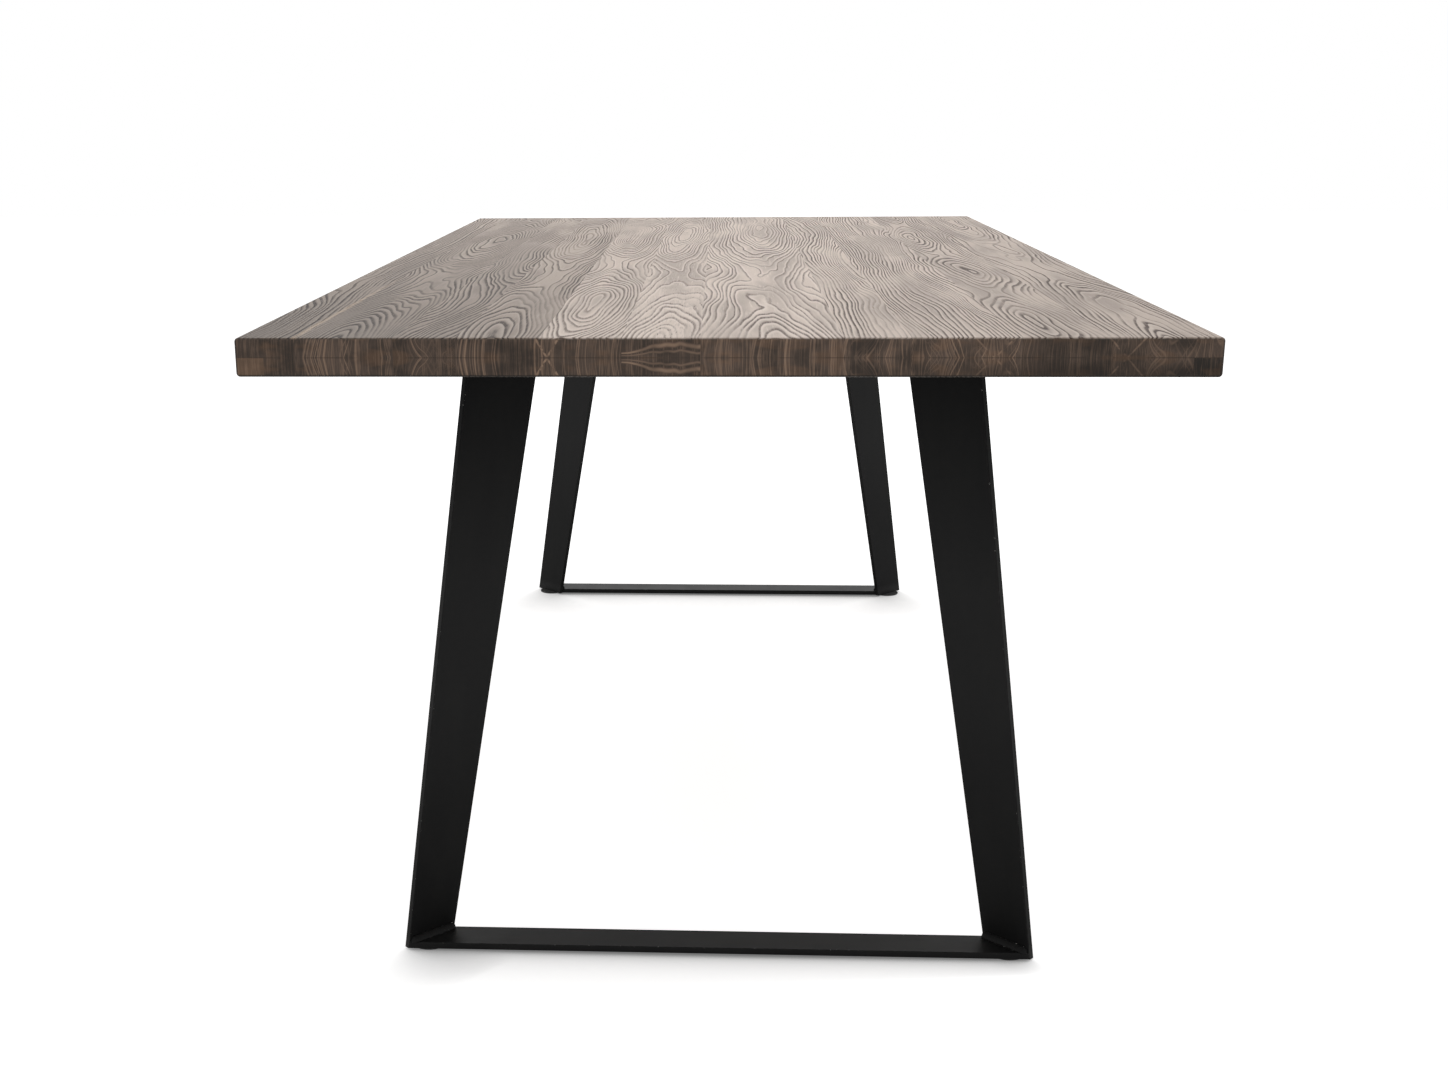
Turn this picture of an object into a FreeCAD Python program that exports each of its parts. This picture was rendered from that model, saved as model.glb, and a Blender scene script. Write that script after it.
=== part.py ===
import FreeCAD, Part
import Sketcher
import os

"""U-leg dining table.

A top of oak boards on a thickening frame stands on two U-shaped frames of flat steel. Each frame has two
tapered plates at 45 degrees in plan and a foot bar cut to their leaning inner faces. Lengths are in
millimetres. The origin is on the floor under the middle of the top, +X is to the right seen from the front
end, +Y runs from the front end to the rear end and +Z is up.
"""

# Driving sizes, one name and one value each.
DRIVING_SIZES = (
    ("table_length", 2000.0),
    ("table_height", 750.0),
    ("board_thickness", 20.0),
    ("strip_thickness", 20.0),
    ("edge_rounding", 4.0),
    ("side_strip_width", 30.0),
    ("end_strip_depth", 80.0),
    ("plan_angle", 45.0),
    ("plate_thickness", 8.0),
    ("plate_top_width", 102.0),
    ("foot_spread", 349.0),
    ("foot_setback", 163.0),
    ("frame_lean", 108.5),
    ("bar_width", 48.0),
    ("bar_thickness", 8.0),
    ("steel_chamfer", 0.8),
    ("foot_weld_leg", 7.5),
    ("mount_weld_leg", 5.0),
    ("weld_end_inset", 2.0),
    ("mount_plate_margin", 20.0),
    ("mount_plate_thickness", 6.0),
    ("mount_plate_corner", 8.0),
    ("bolt_clearance", 6.4),
    ("slot_width", 7.0),
    ("slot_length", 11.0),
    ("bolt_diameter", 6.0),
    ("bolt_length", 20.0),
    ("bolt_head_diameter", 10.5),
    ("bolt_head_height", 3.3),
    ("bolt_crown_diameter", 6.0),
    ("bolt_rim_height", 0.9),
    ("bolt_socket_size", 4.0),
    ("bolt_socket_depth", 2.0),
    ("washer_bore", 6.4),
    ("washer_diameter", 12.0),
    ("washer_thickness", 1.6),
    ("insert_diameter", 10.0),
    ("glide_diameter", 46.0),
    ("glide_thickness", 2.0),
    ("glide_chamfer", 0.5),
    ("glide_inset", 2.0),
    ("board_one_width", 62.0),
    ("board_two_width", 102.0),
    ("board_three_width", 64.0),
    ("board_four_width", 86.0),
    ("board_five_width", 84.0),
    ("board_six_width", 80.0),
    ("board_seven_width", 144.0),
    ("board_eight_width", 68.0),
    ("board_nine_width", 110.0),
    ("board_ten_width", 90.0),
    ("board_eleven_width", 110.0),
)

# Names of the board widths from the left; together they make the width of the table.
BOARD_WIDTHS = tuple(
    alias for alias, value in DRIVING_SIZES if alias.startswith("board_") and alias.endswith("_width")
)

# Sides of the table: name, sign on the axis.
ENDS = (("front", -1), ("rear", 1))
FLANKS = (("left", -1), ("right", 1))

doc = FreeCAD.newDocument("u_leg_dining_table")
sheet = doc.addObject("Spreadsheet::Sheet", "sizes")
for row, (alias, value) in enumerate(DRIVING_SIZES, 1):
    sheet.set(f"A{row}", alias)
    sheet.set(f"B{row}", str(value))
    sheet.setAlias(f"B{row}", alias)
doc.recompute()

# Sizes that follow from the driving ones, as formulas.
TABLE_WIDTH = "(" + " + ".join(f"sizes.{alias}" for alias in BOARD_WIDTHS) + ")"
HALF_WIDTH = f"({TABLE_WIDTH} / 2)"
HALF_LENGTH = "(sizes.table_length / 2)"
TOP_UNDERSIDE = "(sizes.table_height - sizes.board_thickness - sizes.strip_thickness)"
BOARD_UNDERSIDE = "(sizes.table_height - sizes.board_thickness)"
MOUNT_UNDERSIDE = f"({BOARD_UNDERSIDE} - sizes.mount_plate_thickness)"
PLATE_HEIGHT = f"({MOUNT_UNDERSIDE} - sizes.glide_thickness)"
SINE = "sin(sizes.plan_angle * 1 deg)"
COSINE = "cos(sizes.plan_angle * 1 deg)"
PLATE_FOOT_WIDTH = f"(sizes.bar_width / {SINE})"
HALF_PLATE = "(sizes.plate_thickness / 2)"
LEAN_ALONG_PLATE = f"(sizes.frame_lean * {COSINE})"
LEAN_THROUGH_PLATE = f"(sizes.frame_lean * {SINE})"
FOOT_DEPTH = f"({HALF_LENGTH} - sizes.foot_setback)"
MOUNT_SPREAD = "(sizes.foot_spread - sizes.frame_lean)"
BAR_DEPTH = f"({FOOT_DEPTH} + {HALF_PLATE} * {COSINE})"
INSERT_LENGTH = "(sizes.bolt_length - sizes.mount_plate_thickness - sizes.washer_thickness)"
HALF_HEAD = "(sizes.plate_top_width / 2)"
BOLT_OFFSET_ACROSS = f"({HALF_HEAD} * {COSINE} + sizes.bolt_clearance)"
BOLT_OFFSET_ALONG = f"({HALF_HEAD} * {SINE} + sizes.bolt_clearance)"

# Node objects in the order they are written.
nodes = []


def bind(item, **formulas):
    """Bind properties of an object to formulas; a double underscore in a key stands for a dot."""
    for key, formula in formulas.items():
        item.setExpression(key.replace("__", "."), formula)
    return item


def place(item, along_x="0", along_y="0", along_z="0", turn="0"):
    """Bind the position of an object and its turn about the upright axis, in degrees."""
    upright = FreeCAD.Vector(0, 0, 1)
    item.Placement = FreeCAD.Placement(FreeCAD.Vector(), FreeCAD.Rotation(upright, 1))
    bind(
        item,
        Placement__Base__x=along_x,
        Placement__Base__y=along_y,
        Placement__Base__z=along_z,
        Placement__Rotation__Angle=turn,
    )
    return item


def node(item, name):
    """Name an object as one of the pieces of the table."""
    item.Label = name
    nodes.append(item)
    return item


def body(name):
    """Start a body."""
    return doc.addObject("PartDesign::Body", name)


def plane_sketch(owner, plane, name, offset=None):
    """Start a sketch on one of the body's own origin planes, moved along its axes by bound formulas."""
    sketch = owner.newObject("Sketcher::SketchObject", name)
    support = next(item for item in owner.Origin.OriginFeatures if item.Role == plane)
    sketch.AttachmentSupport = (support, [""])
    sketch.MapMode = "FlatFace"
    for axis, formula in (offset or {}).items():
        sketch.setExpression(f"AttachmentOffset.Base.{axis}", formula)
    return sketch


def pin(sketch, geometry, point, across, up):
    """Hold a sketch point at two formulas."""
    for kind, formula, axis in (("DistanceX", across, -2), ("DistanceY", up, -1)):
        if formula == "0":
            sketch.addConstraint(Sketcher.Constraint("PointOnObject", geometry, point, axis))
            continue
        value = float(sketch.evalExpression(formula))
        index = sketch.addConstraint(Sketcher.Constraint(kind, geometry, point, value))
        sketch.setExpression(f"Constraints[{index}]", formula)


def outline(sketch, corners):
    """Draw a closed outline through corners given as pairs of formulas."""
    points = []
    for corner in corners:
        across, up = (float(sketch.evalExpression(formula)) for formula in corner)
        points.append(FreeCAD.Vector(across, up, 0))
    first = sketch.GeometryCount
    count = len(points)
    for index, start in enumerate(points):
        sketch.addGeometry(Part.LineSegment(start, points[(index + 1) % count]))
    for index in range(count):
        following = first + (index + 1) % count
        sketch.addConstraint(Sketcher.Constraint("Coincident", first + index, 2, following, 1))
    for index, (across, up) in enumerate(corners):
        pin(sketch, first + index, 1, across, up)
    return sketch


def slot(sketch, across, up):
    """Draw a round-ended slot that runs across the sketch, centred at two formulas."""
    radius_formula = "sizes.slot_width / 2"
    reach_formula = "(sizes.slot_length - sizes.slot_width) / 2"
    radius = float(sketch.evalExpression(radius_formula))
    reach = float(sketch.evalExpression(reach_formula))
    middle = FreeCAD.Vector(float(sketch.evalExpression(across)), float(sketch.evalExpression(up)), 0)
    side = FreeCAD.Vector(reach, 0, 0)
    rise = FreeCAD.Vector(0, radius, 0)
    tip = FreeCAD.Vector(radius, 0, 0)
    right, left = middle + side, middle - side
    first = sketch.GeometryCount
    sketch.addGeometry(Part.LineSegment(left - rise, right - rise))
    sketch.addGeometry(Part.Arc(right - rise, right + tip, right + rise))
    sketch.addGeometry(Part.LineSegment(right + rise, left + rise))
    sketch.addGeometry(Part.Arc(left + rise, left - tip, left - rise))
    for index in range(4):
        following = first + (index + 1) % 4
        sketch.addConstraint(Sketcher.Constraint("Tangent", first + index, 2, following, 1))
    radius_index = sketch.addConstraint(Sketcher.Constraint("Radius", first + 1, radius))
    sketch.setExpression(f"Constraints[{radius_index}]", radius_formula)
    pin(sketch, first + 1, 3, f"{across} + {reach_formula}", up)
    pin(sketch, first + 3, 3, f"{across} - {reach_formula}", up)


def pad(owner, sketch, length):
    """Raise a sketch along its normal by a formula."""
    feature = owner.newObject("PartDesign::Pad", f"{owner.Name}_pad")
    feature.Profile = sketch
    bind(feature, Length=length)
    sketch.Visibility = False
    return feature


def pocket(owner, sketch, depth):
    """Sink a sketch against its normal by a formula."""
    feature = owner.newObject("PartDesign::Pocket", f"{owner.Name}_pocket")
    feature.Profile = sketch
    bind(feature, Length=depth)
    return feature


def turned_body(name, corners):
    """Make a round body by turning an outline of radius and height about the upright axis."""
    owner = body(name)
    sketch = outline(plane_sketch(owner, "XZ_Plane", f"{name}_profile"), corners)
    feature = owner.newObject("PartDesign::Revolution", f"{name}_turn")
    feature.Profile = sketch
    feature.ReferenceAxis = (sketch, ["V_Axis"])
    feature.Angle = 360.0
    return owner


def plain_box(name, length, width, height, along_x, along_y, along_z):
    """Make a box with bound sizes and position."""
    item = doc.addObject("Part::Box", name)
    bind(item, Length=length, Width=width, Height=height)
    bind(item, Placement__Base__x=along_x, Placement__Base__y=along_y, Placement__Base__z=along_z)
    return item


def common(name, base, tool):
    """Keep what two shapes share."""
    item = doc.addObject("Part::Common", name)
    item.Base = base
    item.Tool = tool
    return item


def cut(name, base, tool):
    """Take one shape out of another."""
    item = doc.addObject("Part::Cut", name)
    item.Base = base
    item.Tool = tool
    return item


def group(name, members):
    """Gather shapes as separate solids."""
    item = doc.addObject("Part::Compound", name)
    item.Links = members
    return item


def signed(sign, formula):
    """Give a formula a sign."""
    return f"{sign} * {formula}"


def rectangle(half_width, half_height):
    """Corners of a rectangle about the sketch origin."""
    return [
        (f"-{half_width}", f"-{half_height}"),
        (half_width, f"-{half_height}"),
        (half_width, half_height),
        (f"-{half_width}", half_height),
    ]


def chamfered_section(half_width, low, high):
    """Corners of a flat bar section with small chamfers, between two heights."""
    ease = "sizes.steel_chamfer"
    return [
        (f"-{half_width} + {ease}", low),
        (f"{half_width} - {ease}", low),
        (half_width, f"{low} + {ease}"),
        (half_width, f"{high} - {ease}"),
        (f"{half_width} - {ease}", high),
        (f"-{half_width} + {ease}", high),
        (f"-{half_width}", f"{high} - {ease}"),
        (f"-{half_width}", f"{low} + {ease}"),
    ]


# Top blank: the whole rim outline with its rounded edges, which the boards and strips are taken from.
blank = body("top_blank")
blank_sketch = plane_sketch(blank, "XY_Plane", "top_blank_outline", {"z": TOP_UNDERSIDE})
outline(blank_sketch, rectangle(HALF_WIDTH, HALF_LENGTH))
blank_pad = pad(blank, blank_sketch, "sizes.board_thickness + sizes.strip_thickness")
doc.recompute()
blank_round = blank.newObject("PartDesign::Fillet", "top_blank_round")
blank_round.Base = (blank_pad, [""])
blank_round.UseAllEdges = True
bind(blank_round, Radius="sizes.edge_rounding")


# Fasteners: one bolt, one washer, one insert and one insert bore, set at every hole of the mount plates.
HEAD_RADIUS = "sizes.bolt_head_diameter / 2"
CROWN_RADIUS = "sizes.bolt_crown_diameter / 2"
BOLT_RADIUS = "sizes.bolt_diameter / 2"
BORE_RADIUS = "sizes.insert_diameter / 2"
bolt = turned_body(
    "bolt_pattern",
    [
        ("0", "-sizes.bolt_head_height"),
        (CROWN_RADIUS, "-sizes.bolt_head_height"),
        (HEAD_RADIUS, "-sizes.bolt_rim_height"),
        (HEAD_RADIUS, "0"),
        (BOLT_RADIUS, "0"),
        (BOLT_RADIUS, "sizes.bolt_length"),
        ("0", "sizes.bolt_length"),
    ],
)
socket_sketch = plane_sketch(bolt, "XY_Plane", "bolt_socket_outline", {"z": "-sizes.bolt_head_height"})
SOCKET_REACH = "(sizes.bolt_socket_size / 2 / cos(30 deg))"
socket_corners = []
for turn in range(30, 390, 60):
    socket_corners.append((f"{SOCKET_REACH} * cos({turn} deg)", f"{SOCKET_REACH} * sin({turn} deg)"))
outline(socket_sketch, socket_corners)
socket = pocket(bolt, socket_sketch, "sizes.bolt_socket_depth")
socket.Reversed = True

washer = turned_body(
    "washer_pattern",
    [
        ("sizes.washer_bore / 2", "0"),
        ("sizes.washer_diameter / 2", "0"),
        ("sizes.washer_diameter / 2", "sizes.washer_thickness"),
        ("sizes.washer_bore / 2", "sizes.washer_thickness"),
    ],
)
insert = turned_body(
    "insert_pattern",
    [
        (BOLT_RADIUS, "0"),
        (BORE_RADIUS, "0"),
        (BORE_RADIUS, INSERT_LENGTH),
        (BOLT_RADIUS, INSERT_LENGTH),
    ],
)
bore = turned_body(
    "bore_pattern",
    [("0", "0"), (BORE_RADIUS, "0"), (BORE_RADIUS, INSERT_LENGTH), ("0", INSERT_LENGTH)],
)


def set_at_holes(pattern, height):
    """Set a pattern at every hole of the four mount plates, at one height."""
    copies = []
    for end, end_sign in ENDS:
        for flank, flank_sign in FLANKS:
            for along in (-1, 1):
                for across in (-1, 1):
                    copy = doc.addObject("App::Link", f"{pattern.Name}_{end}_{flank}_set")
                    copy.LinkedObject = pattern
                    hole_x = f"{signed(flank_sign, MOUNT_SPREAD)} + {signed(across, BOLT_OFFSET_ACROSS)}"
                    hole_y = f"{signed(end_sign, FOOT_DEPTH)} + {signed(along, BOLT_OFFSET_ALONG)}"
                    bind(
                        copy,
                        Placement__Base__x=hole_x,
                        Placement__Base__y=hole_y,
                        Placement__Base__z=height,
                    )
                    copies.append(copy)
    return copies


bores = group("insert_bores", set_at_holes(bore, BOARD_UNDERSIDE))

# Top boards, each starting where the one before it ends, with the insert bores in their undersides.
previous = None
for number, width_alias in enumerate(BOARD_WIDTHS, 1):
    name = f"top_board_{number:02d}"
    start = f"-{HALF_WIDTH}"
    if previous is not None:
        start = f"{previous.Name}.Placement.Base.x + {previous.Name}.Length"
    span = plain_box(
        f"{name}_span",
        f"sizes.{width_alias}",
        "sizes.table_length",
        "sizes.board_thickness",
        start,
        f"-{HALF_LENGTH}",
        BOARD_UNDERSIDE,
    )
    plank = common(f"{name}_plank", blank, span)
    node(cut(f"{name}_piece", plank, bores), name)
    previous = span

# Thickening frame: full-length side strips with the end strips between them.
for flank, flank_sign in FLANKS:
    edge = f"-{HALF_WIDTH}"
    if flank_sign > 0:
        edge = f"{HALF_WIDTH} - sizes.side_strip_width"
    name = f"{flank}_edge_strip"
    span = plain_box(
        f"{name}_span",
        "sizes.side_strip_width",
        "sizes.table_length",
        "sizes.strip_thickness",
        edge,
        f"-{HALF_LENGTH}",
        TOP_UNDERSIDE,
    )
    node(common(f"{name}_piece", blank, span), name)
for end, end_sign in ENDS:
    edge = f"-{HALF_LENGTH}"
    if end_sign > 0:
        edge = f"{HALF_LENGTH} - sizes.end_strip_depth"
    name = f"{end}_end_strip"
    span = plain_box(
        f"{name}_span",
        f"{TABLE_WIDTH} - 2 * sizes.side_strip_width",
        "sizes.end_strip_depth",
        "sizes.strip_thickness",
        f"sizes.side_strip_width - {HALF_WIDTH}",
        edge,
        TOP_UNDERSIDE,
    )
    node(common(f"{name}_piece", blank, span), name)


def leaning_body(name, end_sign, flank_sign, foot_span, head_span, through):
    """Make a flat-faced block that runs from foot level to the mount plate along the lean of the frame.

    The body's own X axis runs along the plate from its outer edge to its inner edge. Each span gives the
    two ends along the plate, and through gives the two faces across it, at the foot.
    """
    owner = body(name)
    wedge = owner.newObject("PartDesign::AdditiveWedge", f"{name}_wedge")
    support = next(item for item in owner.Origin.OriginFeatures if item.Role == "XZ_Plane")
    wedge.AttachmentSupport = (support, [""])
    wedge.MapMode = "FlatFace"
    lean = signed(end_sign * flank_sign, LEAN_THROUGH_PLATE)
    bind(wedge, Ymin="0", Ymax=PLATE_HEIGHT)
    bind(wedge, Xmin=foot_span[0], Xmax=foot_span[1])
    bind(wedge, X2min=f"{head_span[0]} + {LEAN_ALONG_PLATE}", X2max=f"{head_span[1]} + {LEAN_ALONG_PLATE}")
    bind(wedge, Zmin=through[0], Zmax=through[1])
    bind(wedge, Z2min=f"{through[0]} + {lean}", Z2max=f"{through[1]} + {lean}")
    return set_as_leg(owner, end_sign, flank_sign)


def set_as_leg(owner, end_sign, flank_sign):
    """Place a body at the foot of one leg, turned to the plan angle of its plate."""
    turn = "sizes.plan_angle" if flank_sign < 0 else "180 - sizes.plan_angle"
    if end_sign > 0:
        turn = f"-({turn})"
    foot_x = signed(flank_sign, "sizes.foot_spread")
    foot_y = signed(end_sign, FOOT_DEPTH)
    return place(owner, foot_x, foot_y, "sizes.glide_thickness", turn)


def leg_plate(name, end_sign, flank_sign):
    """Make one tapered leg plate with small chamfers on its four long edges."""
    spans = [(f"-{width} / 2", f"{width} / 2") for width in (PLATE_FOOT_WIDTH, "sizes.plate_top_width")]
    owner = leaning_body(name, end_sign, flank_sign, *spans, (f"-{HALF_PLATE}", HALF_PLATE))
    doc.recompute()
    long_edges = []
    for index, edge in enumerate(owner.Tip.Shape.Edges, 1):
        if edge.BoundBox.ZLength > owner.Tip.Shape.BoundBox.ZLength / 2:
            long_edges.append(f"Edge{index}")
    chamfer = owner.newObject("PartDesign::Chamfer", f"{name}_chamfer")
    chamfer.Base = (owner.Group[0], long_edges)
    bind(chamfer, Size="sizes.steel_chamfer")
    return owner


def joint_cutter(name, end_sign, flank_sign):
    """Make a leaning block that fills the space outside the plane of a plate's inner face."""
    reach = "(sizes.bar_width * 2)"
    through = (f"-{reach}", HALF_PLATE)
    if end_sign * flank_sign < 0:
        through = (f"-{HALF_PLATE}", reach)
    span = (f"-{reach}", reach)
    return leaning_body(name, end_sign, flank_sign, span, span, through)


def foot_bead(name, end_sign, flank_sign, bar_zone, cutter):
    """Make the weld bead along the inside joint of a plate and its foot bar."""
    inner_sign = -end_sign * flank_sign
    owner = body(f"{name}_prism")
    sketch = plane_sketch(owner, "YZ_Plane", f"{name}_section", {"z": "-sizes.bar_width * 2"})
    seat = "sizes.bar_thickness"
    toe = f"{inner_sign} * ({HALF_PLATE} + sizes.foot_weld_leg)"
    crest = f"{seat} + {HALF_PLATE} + sizes.foot_weld_leg"
    outline(sketch, [("0", seat), (toe, seat), ("0", crest)])
    pad(owner, sketch, "sizes.bar_width * 4")
    set_as_leg(owner, end_sign, flank_sign)
    return cut(name, common(f"{name}_over_bar", owner, bar_zone), cutter)


def mount_bead(name, end_sign, flank_sign, side, plate):
    """Make the weld bead on one face of a leg plate under its mount plate."""
    inner_sign = -end_sign * flank_sign
    owner = body(f"{name}_prism")
    start = f"{LEAN_ALONG_PLATE} - sizes.plate_top_width / 2 + sizes.weld_end_inset"
    sketch = plane_sketch(owner, "YZ_Plane", f"{name}_section", {"z": start})
    core = signed(inner_sign, LEAN_THROUGH_PLATE)
    toe = f"{core} + {side} * ({HALF_PLATE} + sizes.mount_weld_leg)"
    crest = f"{PLATE_HEIGHT} - {HALF_PLATE} - sizes.mount_weld_leg"
    outline(sketch, [(core, PLATE_HEIGHT), (toe, PLATE_HEIGHT), (core, crest)])
    pad(owner, sketch, "sizes.plate_top_width - 2 * sizes.weld_end_inset")
    set_as_leg(owner, end_sign, flank_sign)
    return cut(name, owner, plate)


def mount_plate(name, end_sign, flank_sign):
    """Make one mount plate with a slot across the grain near each corner."""
    owner = body(name)
    sketch = plane_sketch(owner, "XY_Plane", f"{name}_outline")
    half_across = f"({BOLT_OFFSET_ACROSS} + sizes.mount_plate_margin)"
    half_along = f"({BOLT_OFFSET_ALONG} + sizes.mount_plate_margin)"
    outline(sketch, rectangle(half_across, half_along))
    for across in (-1, 1):
        for along in (-1, 1):
            slot(sketch, signed(across, BOLT_OFFSET_ACROSS), signed(along, BOLT_OFFSET_ALONG))
    slab = pad(owner, sketch, "sizes.mount_plate_thickness")
    doc.recompute()
    corners = []
    frame = slab.Shape.BoundBox
    for index, edge in enumerate(slab.Shape.Edges, 1):
        middle = edge.CenterOfMass
        off_side = frame.XMax - abs(middle.x)
        off_end = frame.YMax - abs(middle.y)
        if max(off_side, off_end) < Part.Precision.approximation():
            corners.append(f"Edge{index}")
    rounding = owner.newObject("PartDesign::Fillet", f"{name}_corners")
    rounding.Base = (slab, corners)
    bind(rounding, Radius="sizes.mount_plate_corner")
    mount_x = signed(flank_sign, MOUNT_SPREAD)
    mount_y = signed(end_sign, FOOT_DEPTH)
    return place(owner, mount_x, mount_y, MOUNT_UNDERSIDE)


def glide(name, end_sign, flank_sign):
    """Make one round glide pad under the corner of a leg plate and its foot bar."""
    radius = "sizes.glide_diameter / 2"
    owner = turned_body(
        name,
        [
            ("0", "0"),
            (f"{radius} - sizes.glide_chamfer", "0"),
            (radius, "sizes.glide_chamfer"),
            (radius, "sizes.glide_thickness"),
            ("0", "sizes.glide_thickness"),
        ],
    )
    glide_x = f"{flank_sign} * (sizes.foot_spread - sizes.glide_inset)"
    return place(owner, glide_x, signed(end_sign, BAR_DEPTH), "0")


# U-frames: leg plates, the foot bar cut to their inner faces, mount plates, weld beads and glides.
for end, end_sign in ENDS:
    bar = body(f"{end}_bar_stock")
    bar_start = {"z": "-sizes.foot_spread - sizes.bar_width"}
    bar_sketch = plane_sketch(bar, "YZ_Plane", f"{end}_bar_section", bar_start)
    outline(bar_sketch, chamfered_section("sizes.bar_width / 2", "0", "sizes.bar_thickness"))
    pad(bar, bar_sketch, "2 * (sizes.foot_spread + sizes.bar_width)")
    place(bar, "0", signed(end_sign, BAR_DEPTH), "sizes.glide_thickness")
    bar_zone = plain_box(
        f"{end}_bar_zone",
        "2 * (sizes.foot_spread + sizes.bar_width)",
        "sizes.bar_width",
        "sizes.bar_width",
        "-sizes.foot_spread - sizes.bar_width",
        f"{signed(end_sign, BAR_DEPTH)} - sizes.bar_width / 2",
        "sizes.glide_thickness",
    )
    beads = []
    trimmed = bar
    for flank, flank_sign in FLANKS:
        corner = f"{end}_{flank}"
        plate = node(leg_plate(f"{corner}_plate_body", end_sign, flank_sign), f"{corner}_leg_plate")
        cutter = joint_cutter(f"{corner}_joint", end_sign, flank_sign)
        trimmed = cut(f"{corner}_bar_trim", trimmed, cutter)
        node(mount_plate(f"{corner}_mount_body", end_sign, flank_sign), f"{corner}_mount_plate")
        node(glide(f"{corner}_glide_body", end_sign, flank_sign), f"{corner}_glide")
        beads.append(foot_bead(f"{corner}_foot_bead", end_sign, flank_sign, bar_zone, cutter))
        for face, side in (("first", -1), ("second", 1)):
            beads.append(mount_bead(f"{corner}_{face}_mount_bead", end_sign, flank_sign, side, plate))
    node(trimmed, f"{end}_foot_bar")
    node(group(f"{end}_beads", beads), f"{end}_weld_beads")

# Fastener groups.
WASHER_SEAT = f"({MOUNT_UNDERSIDE} - sizes.washer_thickness)"
node(group("bolt_group", set_at_holes(bolt, WASHER_SEAT)), "mount_bolts")
node(group("washer_group", set_at_holes(washer, WASHER_SEAT)), "mount_washers")
node(group("insert_group", set_at_holes(insert, BOARD_UNDERSIDE)), "threaded_inserts")

doc.recompute()

faults = []
for item in doc.Objects:
    if "Invalid" in item.State or "Error" in item.State:
        faults.append(f"{item.Label}: {item.State}")
for item in nodes:
    if item.Shape.isNull() or not item.Shape.isValid() or not item.Shape.Solids:
        faults.append(f"{item.Label}: shape is empty or not valid")
if faults:
    raise RuntimeError("; ".join(faults))

os.makedirs("parts", exist_ok=True)
for item in nodes:
    item.Shape.exportStep(f"parts/{item.Label}.step")
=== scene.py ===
"""Dressed scene of a u-leg dining table: smoked oak boards on two black steel U-frames.

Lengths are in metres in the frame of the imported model: the origin is on the floor under the middle of the
top, +X is to the right seen from the front end, +Y runs to the rear end and +Z is up. The finishes measure
their patterns in millimetres, because growth rings, pores and worn spots are that small.
"""

import logging
import math
from dataclasses import dataclass, field, fields, replace
from enum import Enum
from functools import reduce
from typing import Dict, List, Optional, Sequence, Tuple, Union

import bmesh
import bpy
from bmesh.types import BMEdge, BMesh, BMVert
from bpy.types import Material, NodeSocket, NodeTree
from mathutils import Matrix, Vector


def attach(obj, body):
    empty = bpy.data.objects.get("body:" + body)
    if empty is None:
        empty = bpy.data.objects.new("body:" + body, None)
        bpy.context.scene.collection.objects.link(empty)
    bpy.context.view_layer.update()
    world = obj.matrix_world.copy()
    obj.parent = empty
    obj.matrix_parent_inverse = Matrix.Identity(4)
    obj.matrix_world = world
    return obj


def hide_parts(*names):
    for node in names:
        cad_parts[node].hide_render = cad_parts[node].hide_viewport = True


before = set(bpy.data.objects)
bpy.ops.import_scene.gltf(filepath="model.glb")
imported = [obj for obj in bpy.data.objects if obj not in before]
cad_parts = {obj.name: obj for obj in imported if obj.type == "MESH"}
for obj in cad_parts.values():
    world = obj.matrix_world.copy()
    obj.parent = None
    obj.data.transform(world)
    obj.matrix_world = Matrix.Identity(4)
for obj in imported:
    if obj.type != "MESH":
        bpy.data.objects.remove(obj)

LOG = logging.getLogger("u_leg_dining_table")
ROOT_BODY = "root"
PER_METRE = 1000.0

Rgb = Point = Tuple[float, float, float]
Range = Tuple[float, float]
Key = Union[int, str]


class Slot(Enum):
    """Material slots of the record, which no piece of this script is given."""

    BLACK_STEEL = "black_steel"


class End(Enum):
    """Ends of the table, with their sign on the length axis."""

    FRONT = -1
    REAR = 1


class Flank(Enum):
    """Sides of the table, with their sign on the width axis."""

    LEFT = -1
    RIGHT = 1


def linear(*channels: int) -> Rgb:
    """Turn a display colour into the linear values that shaders use, by undoing the sRGB curve.

    Args:
        channels: Red, green and blue from 0 to 255.

    Returns:
        The three linear values.
    """
    shares = (channel / 255.0 for channel in channels)
    return tuple(share / 12.92 if share <= 0.04045 else ((share + 0.055) / 1.055) ** 2.4 for share in shares)


@dataclass(frozen=True)
class Value:
    """Output of a node, ready for sums: each operation adds a node to its graph."""

    graph: "Graph"
    socket: NodeSocket

    def __add__(self, other: "Term") -> "Value":
        """Add a number."""
        return self.graph.math("ADD", self, other)

    def __sub__(self, other: "Term") -> "Value":
        """Take a number away."""
        return self.graph.math("SUBTRACT", self, other)

    def __rsub__(self, other: float) -> "Value":
        """Take this away from a number."""
        return self.graph.math("SUBTRACT", other, self)

    def __mul__(self, other: "Term") -> "Value":
        """Multiply with a number."""
        return self.graph.math("MULTIPLY", self, other)

    def __truediv__(self, other: "Term") -> "Value":
        """Divide by a number."""
        return self.graph.math("DIVIDE", self, other)

    def __pow__(self, power: float) -> "Value":
        """Raise to a power."""
        return self.graph.math("POWER", self, power)

    def __abs__(self) -> "Value":
        """Drop the sign."""
        return self.graph.math("ABSOLUTE", self)

    __radd__ = __add__
    __rmul__ = __mul__


Term = Union[float, Value]


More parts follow.
